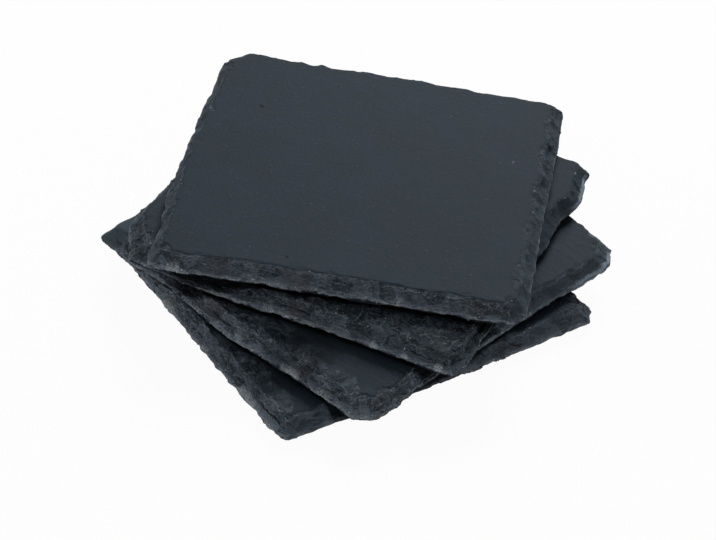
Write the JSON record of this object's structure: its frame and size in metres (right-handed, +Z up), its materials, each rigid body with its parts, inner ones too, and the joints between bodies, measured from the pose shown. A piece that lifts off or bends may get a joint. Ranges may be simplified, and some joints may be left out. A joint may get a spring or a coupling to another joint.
{
  "type": "drink coaster set",
  "caption": "Square slate drink coasters with chipped edges and foam pads, fanned out in a loose stack; each lifts off to stand a cup or glass on.",
  "frame": {"origin": "middle of the whole stack's outline, on the table under the bottom coaster's pads", "axes": "+X along the top coaster's front edge, to the right; +Y from its front edge to its back edge; +Z up"},
  "size_m": [0.1358, 0.1416, 0.026],
  "materials": {
    "slate": "natural split slate, matt, with chipped edges",
    "foam_pad": "black closed-cell foam, matt"
  },
  "bodies": {
    "bottom_coaster": {"bottom_slate": "slate", "bottom_pad_front_left": "foam_pad", "bottom_pad_front_right": "foam_pad", "bottom_pad_back_right": "foam_pad", "bottom_pad_back_left": "foam_pad"},
    "second_coaster": {"second_slate": "slate", "second_pad_front_left": "foam_pad", "second_pad_front_right": "foam_pad", "second_pad_back_right": "foam_pad", "second_pad_back_left": "foam_pad"},
    "third_coaster": {"third_slate": "slate", "third_pad_front_left": "foam_pad", "third_pad_front_right": "foam_pad", "third_pad_back_right": "foam_pad", "third_pad_back_left": "foam_pad"},
    "top_coaster": {"top_slate": "slate", "top_pad_front_left": "foam_pad", "top_pad_front_right": "foam_pad", "top_pad_back_right": "foam_pad", "top_pad_back_left": "foam_pad"}
  },
  "joints": [
    {"name": "second_coaster_lift", "type": "slide", "parent": "bottom_coaster", "child": "second_coaster", "axis": [0, 0, 1], "range_m": [0, 0.06]},
    {"name": "third_coaster_lift", "type": "slide", "parent": "second_coaster", "child": "third_coaster", "axis": [0, 0, 1], "range_m": [0, 0.06]},
    {"name": "top_coaster_lift", "type": "slide", "parent": "third_coaster", "child": "top_coaster", "axis": [0, 0, 1], "range_m": [0, 0.06]}
  ]
}
